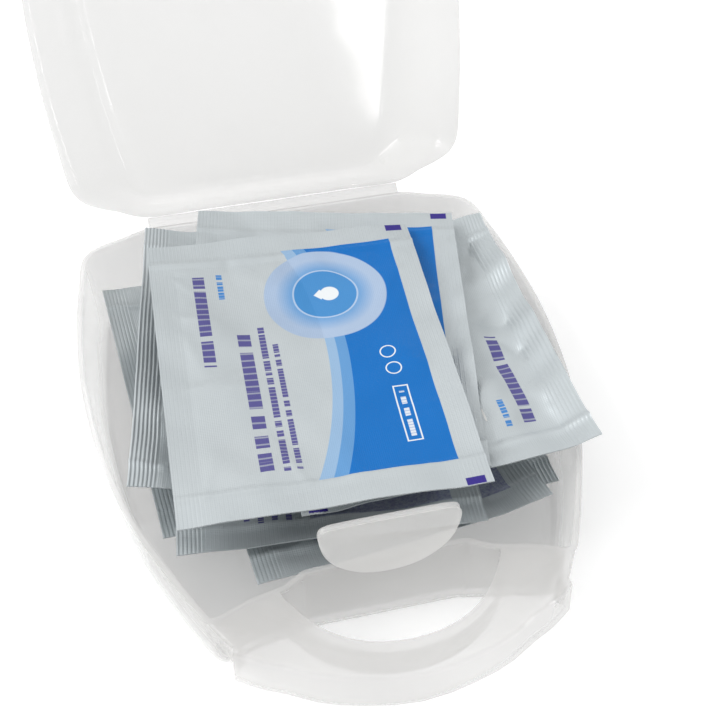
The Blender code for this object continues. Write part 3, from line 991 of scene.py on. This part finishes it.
    def folded_wipe(self):
        """The wipe, folded to and fro in four layers and pressed to the shape of the pouch."""
        half_x, half_y = WIPE_ACROSS * SACHET_WIDTH / 2, WIPE_ALONG * SACHET_LENGTH / 2
        profile = zigzag()
        rings = []
        for step in np.linspace(-1, 1, WIPE_SLICES):
            across = profile[:, 0] * half_x * 2 / SACHET_WIDTH
            along = np.full_like(across, step * half_y * 2 / SACHET_LENGTH)
            middle, _ = self.sampled(self.middle, across, along)
            room, _ = self.sampled(self.room, across, along)
            height = middle + profile[:, 1] * (room - WIPE_CLEARANCE)
            rings.append(np.column_stack([self.plan(across, along), height]) * MM)
        wipe = loft(f"{self.name}_folded_wipe", rings, WIPE_SHARP)
        dress(wipe, "base", "nonwoven", f"{self.name}_wipe")
        return wipe


def zigzag():
    """The closed outline, seen from the end, of a strip folded to and fro between -1 and 1."""
    pitch = 2 / WIPE_LAYERS
    line = []
    for layer in range(WIPE_LAYERS):
        side = 1 if layer % 2 == 0 else -1
        height = -1 + pitch * (layer + 0.5)
        line += [(x, height) for x in np.linspace(-LAYER_REACH, LAYER_REACH, LAYER_STEPS) * side]
        if layer < WIPE_LAYERS - 1:
            for turn in (-45, 0, 45):
                out, up = math.cos(math.radians(turn)), math.sin(math.radians(turn))
                line.append((side * (LAYER_REACH + LAYER_BEND * out), height + pitch * (0.5 + 0.5 * up)))
    line = np.array(line)
    scale = np.array((WIPE_FLATNESS, 1))
    runs = np.gradient(line * scale, axis=0)
    normals = np.column_stack([-runs[:, 1], runs[:, 0]])
    normals /= np.linalg.norm(normals, axis=1)[:, None]
    aside = normals * pitch * LAYER_THICKNESS / scale
    return np.concatenate([line + aside, (line - aside)[::-1]])


def blurred(field):
    """The field with each value evened out over its neighbours."""
    padded = np.pad(field, BLUR, mode="edge")
    span = 2 * BLUR + 1
    total = np.zeros_like(field)
    for i in range(span):
        for j in range(span):
            total += padded[i : i + field.shape[0], j : j + field.shape[1]]
    return total / span**2


def sheet_object(name, spots, upper, lower):
    """A closed slab over a grid: its upper face, its lower face and the rim between them."""
    wide, long = upper.shape
    top = np.dstack([spots, upper]).reshape(-1, 3)
    bottom = np.dstack([spots, lower]).reshape(-1, 3)
    index = np.arange(wide * long).reshape(wide, long)
    quads = np.stack([index[:-1, :-1], index[:-1, 1:], index[1:, 1:], index[1:, :-1]], -1).reshape(-1, 4)
    edge = np.concatenate([index[:, 0], index[-1, 1:], index[-2::-1, -1], index[0, -2:0:-1]])
    after = np.roll(edge, -1)
    under = wide * long
    rim = np.stack([edge, edge + under, after + under, after], -1)
    faces = np.concatenate([quads, quads[:, ::-1] + under, rim])
    mesh = bpy.data.meshes.new(name)
    mesh.from_pydata(np.concatenate([top, bottom]) * MM, [], faces.tolist())
    mesh.validate()
    form = bmesh.new()
    form.from_mesh(mesh)
    bpy.data.meshes.remove(mesh)
    return finished(name, form, FILM_SHARP)


def set_plan_map(mesh, plan):
    """Gives each corner of each face its place on the flat sachet."""
    corners = np.empty(len(mesh.loops), np.int32)
    mesh.loops.foreach_get("vertex_index", corners)
    layer = mesh.uv_layers.new(name="plan")
    layer.data.foreach_set("uv", plan[corners % len(plan)].astype(np.float32).ravel())


def pile():
    """All the sachets, from the lowest up, each laid on those below it."""
    placed = []
    for details in SACHETS:
        sachet = Sachet(*details)
        sachet.rest_on(placed)
        placed.append(sachet)
        sachet.build()


# ---------------------------------------------------------------- the studio


def camera():
    """The scene's camera."""
    data = bpy.data.cameras.new("camera")
    data.lens = CAMERA_LENS
    data.sensor_width = CAMERA_SENSOR
    data.clip_start = CAMERA_NEAR
    thing = bpy.data.objects.new("camera", data)
    look = Vector(CAMERA_LOOK).to_track_quat("-Z", "Y").to_matrix().to_4x4()
    roll = Matrix.Rotation(math.radians(CAMERA_ROLL), 4, "Z")
    thing.matrix_world = Matrix.Translation(CAMERA_PLACE) @ look @ roll
    bpy.context.scene.collection.objects.link(thing)
    bpy.context.scene.camera = thing


def lamp(name, place, target, size, power):
    """A rectangular lamp that faces its target."""
    data = bpy.data.lights.new(name, "AREA")
    data.shape = "RECTANGLE"
    data.size, data.size_y = size
    data.energy = power
    thing = bpy.data.objects.new(name, data)
    place = Vector(place)
    thing.rotation_euler = (Vector(target) - place).to_track_quat("-Z", "Y").to_euler()
    thing.location = place
    bpy.context.scene.collection.objects.link(thing)


def studio():
    """Bright surroundings, lamps and a plain table."""
    world = bpy.data.worlds.new("studio")
    world.use_nodes = True
    background = world.node_tree.nodes["Background"]
    background.inputs["Color"].default_value = (1, 1, 1, 1)
    where = world.node_tree.nodes.new("ShaderNodeTexCoord")
    towards = world.node_tree.nodes.new("ShaderNodeVectorMath")
    towards.operation = "DOT_PRODUCT"
    towards.inputs[1].default_value = SKY_WAY
    world.node_tree.links.new(where.outputs["Generated"], towards.inputs[0])
    share = Field(world.node_tree, towards.outputs["Value"])
    glow = (share * SKY_SLOPE + SKY_LEVEL).most(SKY_LEAST)
    world.node_tree.links.new(glow.socket, background.inputs["Strength"])
    bpy.context.scene.world = world
    bpy.context.scene.view_settings.view_transform = "Standard"
    for details in LAMPS:
        lamp(*details)
    form = bmesh.new()
    bmesh.ops.create_grid(form, x_segments=1, y_segments=1, size=TABLE_HALF_SIZE)
    table = finished("table", form)
    table.data.materials.append(table_top())


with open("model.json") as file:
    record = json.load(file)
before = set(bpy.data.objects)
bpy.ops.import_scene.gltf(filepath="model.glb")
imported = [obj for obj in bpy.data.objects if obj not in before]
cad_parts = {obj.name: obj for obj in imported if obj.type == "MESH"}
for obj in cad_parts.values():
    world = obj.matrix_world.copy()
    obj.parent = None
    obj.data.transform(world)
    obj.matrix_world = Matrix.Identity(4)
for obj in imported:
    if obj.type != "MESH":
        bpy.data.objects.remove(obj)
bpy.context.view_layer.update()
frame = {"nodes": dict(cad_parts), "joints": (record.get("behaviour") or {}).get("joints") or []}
NODES = frame["nodes"]
JOINTS = {joint["name"]: joint for joint in frame["joints"]}
HINGE = Vector(JOINTS["lid_hinge"]["pos_m"])
OPENING = -math.radians(JOINTS["lid_hinge"]["range_deg"][0])
TONGUE_PIVOT = Vector(JOINTS["latch_tongue_bend"]["pos_m"])
BASE_DEPTH = HINGE.z / MM
MATERIALS = {
    # The case is one moulding of one polypropylene. The base's copy, which the hinge web shares, is paler
    # than the lid's as painted light: it offsets the shade that falls inside the base.
    "polypropylene": polypropylene("polypropylene", 0.64, 0.34),
    "lid_polypropylene": polypropylene("lid_polypropylene", 0.52, 0.3),
    # The tongue's copy is paler and less see-through still, as painted light that offsets the shade of the
    # sachets behind it.
    "brightened_tongue_polypropylene": polypropylene("brightened_tongue_polypropylene", 0.82, 0.5),
    "printed_foil": printed_foil(),
    "worded_foil": worded_foil(),
    "plain_foil": plain_foil(),
    "nonwoven": nonwoven(),
}

camera()
studio()
half_case("base_shell", "base", UNDERSIDE, BASE_PROFILE, BASE_DEPTH, -1, 0, "polypropylene")
half_case("lid_shell", "lid", TOP_PANEL, LID_PROFILE, LID_DEPTH, 1, -OPENING, "lid_polypropylene")
hinge_web()
tongue()
pile()
